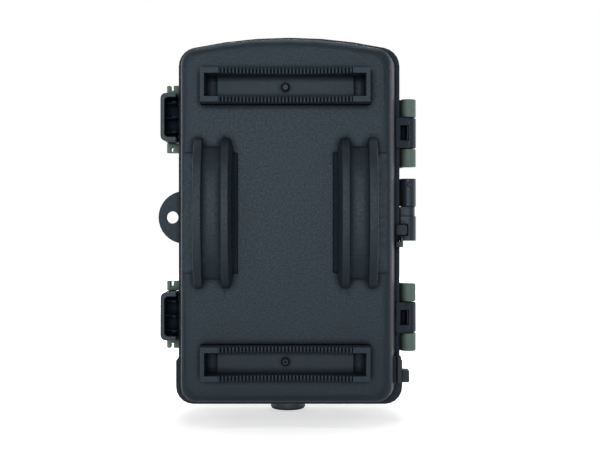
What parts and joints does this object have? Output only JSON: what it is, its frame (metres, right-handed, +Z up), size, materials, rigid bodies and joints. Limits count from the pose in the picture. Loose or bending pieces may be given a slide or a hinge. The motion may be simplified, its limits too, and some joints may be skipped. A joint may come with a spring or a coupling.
{
  "type": "trail camera",
  "caption": "Weatherproof trail camera in two hinged halves with snap latches, strap guides, toothed tree grips, battery pack, screen and keys.",
  "frame": {"origin": "centre of the strap bed, on the flat back of the rear cover", "axes": "-Y out of the back towards the tree, +Y out of the lens, +Z up, +X towards the hinge line"},
  "size_m": [0.0949, 0.0688, 0.1392],
  "materials": {
    "cover_plastic": "fine moulded grain",
    "housing_plastic": "fine moulded grain",
    "black_plastic": "satin",
    "rubber": "matte",
    "steel": "plated",
    "dark_steel": "black oxide",
    "brass": "machined",
    "cell_sleeve": "plain shrink sleeve",
    "circuit_board": "solder mask",
    "dark_glass": "polished",
    "clear_glass": "polished",
    "milky_plastic": "milky, faceted",
    "red_plastic": "polished",
    "button_plastic": "satin",
    "card_plastic": "satin"
  },
  "bodies": {
    "rear_half": {"rear_cover": "cover_plastic", "seal_gasket": "rubber", "upper_tree_grip": "cover_plastic", "lower_tree_grip": "cover_plastic", "upper_grip_screw": "dark_steel", "lower_grip_screw": "dark_steel", "upper_hinge_pin": "dark_steel", "lower_hinge_pin": "dark_steel", "battery_tray": "black_plastic", "battery_cell_1": "cell_sleeve", "battery_cell_2": "cell_sleeve", "battery_cell_3": "cell_sleeve", "battery_cell_4": "cell_sleeve", "battery_cell_5": "cell_sleeve", "battery_cell_6": "cell_sleeve", "battery_cell_7": "cell_sleeve", "battery_cell_8": "cell_sleeve", "top_contact_strip": "steel", "middle_contact_strip": "steel", "bottom_contact_strip": "steel", "dc_jack": "black_plastic", "conduit_lower": "black_plastic", "conduit_grommet": "rubber", "power_lead": "rubber"},
    "front_half": {"front_housing": "housing_plastic", "front_bezel": "black_plastic", "ir_window": "dark_glass", "ir_led_board": "circuit_board", "lens_barrel": "black_plastic", "lens_glass": "clear_glass", "pir_lens": "milky_plastic", "pir_sensor": "steel", "status_led": "red_plastic", "inner_panel": "black_plastic", "panel_screw_1": "steel", "panel_screw_2": "steel", "panel_screw_3": "steel", "panel_screw_4": "steel", "screen_window": "clear_glass", "lcd_panel": "black_plastic", "main_board": "circuit_board", "image_sensor": "dark_glass", "sd_socket": "steel", "usb_port": "steel", "tripod_boss": "black_plastic", "tripod_insert": "brass", "conduit_upper": "black_plastic", "upper_latch_pin": "dark_steel", "lower_latch_pin": "dark_steel"},
    "upper_latch_lever": {"upper_latch": "black_plastic"},
    "lower_latch_lever": {"lower_latch": "black_plastic"},
    "port_flap": {"dc_port_cover": "rubber"},
    "up_key": {"up_button": "button_plastic"},
    "down_key": {"down_button": "button_plastic"},
    "left_key": {"left_button": "button_plastic"},
    "right_key": {"right_button": "button_plastic"},
    "ok_key": {"ok_button": "button_plastic"},
    "mode_knob": {"mode_switch": "button_plastic"},
    "memory_card": {"sd_card": "card_plastic"}
  },
  "joints": [
    {"name": "front_door_hinge", "type": "hinge", "parent": "rear_half", "child": "front_half", "pos_m": [0.0451, 0.022, 0], "axis": [0, 0, -1], "range_deg": [0, 130]},
    {"name": "upper_latch_pivot", "type": "hinge", "parent": "front_half", "child": "upper_latch_lever", "pos_m": [-0.0429, 0.027, 0.0353], "axis": [0, 0, -1], "range_deg": [0, 95]},
    {"name": "lower_latch_pivot", "type": "hinge", "parent": "front_half", "child": "lower_latch_lever", "pos_m": [-0.0429, 0.027, -0.0376], "axis": [0, 0, -1], "range_deg": [0, 95]},
    {"name": "port_cover_flex", "type": "hinge", "parent": "rear_half", "child": "port_flap", "pos_m": [0.04055, 0.0125, -0.0512], "axis": [0, -1, 0], "range_deg": [0, 100]},
    {"name": "up_key_press", "type": "slide", "parent": "front_half", "child": "up_key", "axis": [0, 1, 0], "range_m": [0, 0.0006], "stiffness_N_per_m": 300},
    {"name": "down_key_press", "type": "slide", "parent": "front_half", "child": "down_key", "axis": [0, 1, 0], "range_m": [0, 0.0006], "stiffness_N_per_m": 300},
    {"name": "left_key_press", "type": "slide", "parent": "front_half", "child": "left_key", "axis": [0, 1, 0], "range_m": [0, 0.0006], "stiffness_N_per_m": 300},
    {"name": "right_key_press", "type": "slide", "parent": "front_half", "child": "right_key", "axis": [0, 1, 0], "range_m": [0, 0.0006], "stiffness_N_per_m": 300},
    {"name": "ok_key_press", "type": "slide", "parent": "front_half", "child": "ok_key", "axis": [0, 1, 0], "range_m": [0, 0.0006], "stiffness_N_per_m": 300},
    {"name": "mode_switch_slide", "type": "slide", "parent": "front_half", "child": "mode_knob", "axis": [1, 0, 0], "range_m": [0, 0.006]},
    {"name": "memory_card_push", "type": "slide", "parent": "front_half", "child": "memory_card", "axis": [0, 0, 1], "range_m": [0, 0.0012], "stiffness_N_per_m": 200}
  ]
}
